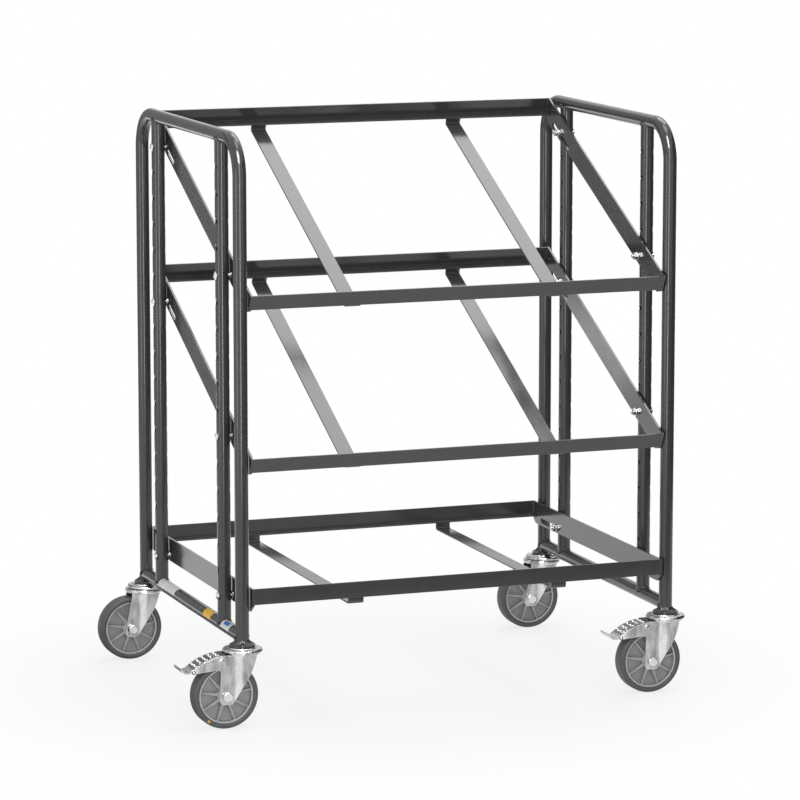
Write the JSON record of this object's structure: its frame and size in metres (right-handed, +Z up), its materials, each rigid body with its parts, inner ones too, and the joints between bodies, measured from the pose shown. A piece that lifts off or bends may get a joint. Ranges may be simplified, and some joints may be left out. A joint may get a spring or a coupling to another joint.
{
  "type": "euro container trolley",
  "caption": "Open trolley for euro containers: two tubular end frames, a level lower and two slanted upper container frames, swivel casters, brakes at the front.",
  "frame": {"origin": "on the floor, under the middle of the trolley's overall box", "axes": "+X along the trolley from the left to the right end frame, as seen from its low side; +Y from the front to the rear; +Z up"},
  "size_m": [1.0112, 0.6902, 1.095],
  "materials": {
    "powder_coat": "dark grey powder coat, satin to half gloss",
    "zinc": "bright zinc plating on pressed steel",
    "bearing_steel": "plain steel",
    "tyre_rubber": "matt grey rubber",
    "hub_plastic": "moulded grey polypropylene, matt"
  },
  "bodies": {
    "frame": {"left_bow": "powder_coat", "right_bow": "powder_coat", "left_front_post": "powder_coat", "left_rear_post": "powder_coat", "right_front_post": "powder_coat", "right_rear_post": "powder_coat", "left_base_bar": "powder_coat", "right_base_bar": "powder_coat", "leg_feet": "powder_coat", "lower_front_rail": "powder_coat", "lower_rear_rail": "powder_coat", "lower_left_side": "powder_coat", "lower_right_side": "powder_coat", "lower_left_slat": "powder_coat", "lower_right_slat": "powder_coat", "middle_front_rail": "powder_coat", "middle_rear_rail": "powder_coat", "middle_left_side": "powder_coat", "middle_right_side": "powder_coat", "middle_left_slat": "powder_coat", "middle_right_slat": "powder_coat", "upper_front_rail": "powder_coat", "upper_rear_rail": "powder_coat", "upper_left_side": "powder_coat", "upper_right_side": "powder_coat", "upper_left_slat": "powder_coat", "upper_right_slat": "powder_coat", "shelf_bolts": "zinc", "shelf_washers": "zinc", "shelf_nuts": "zinc", "caster_heads": "zinc", "king_bolts": "zinc", "swivel_balls": "bearing_steel"},
    "front_left_caster": {"front_left_fork": "zinc", "front_left_axle": "zinc", "front_left_pivot_pin": "zinc"},
    "front_left_wheel": {"front_left_hub": "hub_plastic", "front_left_tyre": "tyre_rubber", "front_left_bush": "bearing_steel"},
    "front_left_brake": {"front_left_pedal": "zinc", "front_left_brake_shoe": "bearing_steel"},
    "front_right_caster": {"front_right_fork": "zinc", "front_right_axle": "zinc", "front_right_pivot_pin": "zinc"},
    "front_right_wheel": {"front_right_hub": "hub_plastic", "front_right_tyre": "tyre_rubber", "front_right_bush": "bearing_steel"},
    "front_right_brake": {"front_right_pedal": "zinc", "front_right_brake_shoe": "bearing_steel"},
    "rear_left_caster": {"rear_left_fork": "zinc", "rear_left_axle": "zinc"},
    "rear_left_wheel": {"rear_left_hub": "hub_plastic", "rear_left_tyre": "tyre_rubber", "rear_left_bush": "bearing_steel"},
    "rear_right_caster": {"rear_right_fork": "zinc", "rear_right_axle": "zinc"},
    "rear_right_wheel": {"rear_right_hub": "hub_plastic", "rear_right_tyre": "tyre_rubber", "rear_right_bush": "bearing_steel"}
  },
  "joints": [
    {"name": "front_left_swivel", "type": "hinge", "parent": "frame", "child": "front_left_caster", "pos_m": [-0.38013, -0.3075, 0.14], "axis": [0, 0, 1], "continuous": true},
    {"name": "front_left_spin", "type": "hinge", "parent": "front_left_caster", "child": "front_left_wheel", "pos_m": [-0.41613, -0.3075, 0.0625], "axis": [0, 1, 0], "continuous": true},
    {"name": "front_left_pedal_press", "type": "hinge", "parent": "front_left_caster", "child": "front_left_brake", "pos_m": [-0.42713, -0.3075, 0.1295], "axis": [0, -1, 0], "range_deg": [0, 14]},
    {"name": "front_right_swivel", "type": "hinge", "parent": "frame", "child": "front_right_caster", "pos_m": [0.46787, -0.3075, 0.14], "axis": [0, 0, 1], "continuous": true},
    {"name": "front_right_spin", "type": "hinge", "parent": "front_right_caster", "child": "front_right_wheel", "pos_m": [0.43187, -0.3075, 0.0625], "axis": [0, 1, 0], "continuous": true},
    {"name": "front_right_pedal_press", "type": "hinge", "parent": "front_right_caster", "child": "front_right_brake", "pos_m": [0.42087, -0.3075, 0.1295], "axis": [0, -1, 0], "range_deg": [0, 14]},
    {"name": "rear_left_swivel", "type": "hinge", "parent": "frame", "child": "rear_left_caster", "pos_m": [-0.38013, 0.3075, 0.14], "axis": [0, 0, 1], "continuous": true},
    {"name": "rear_left_spin", "type": "hinge", "parent": "rear_left_caster", "child": "rear_left_wheel", "pos_m": [-0.41613, 0.3075, 0.0625], "axis": [0, 1, 0], "continuous": true},
    {"name": "rear_right_swivel", "type": "hinge", "parent": "frame", "child": "rear_right_caster", "pos_m": [0.46787, 0.3075, 0.14], "axis": [0, 0, 1], "continuous": true},
    {"name": "rear_right_spin", "type": "hinge", "parent": "rear_right_caster", "child": "rear_right_wheel", "pos_m": [0.43187, 0.3075, 0.0625], "axis": [0, 1, 0], "continuous": true}
  ]
}
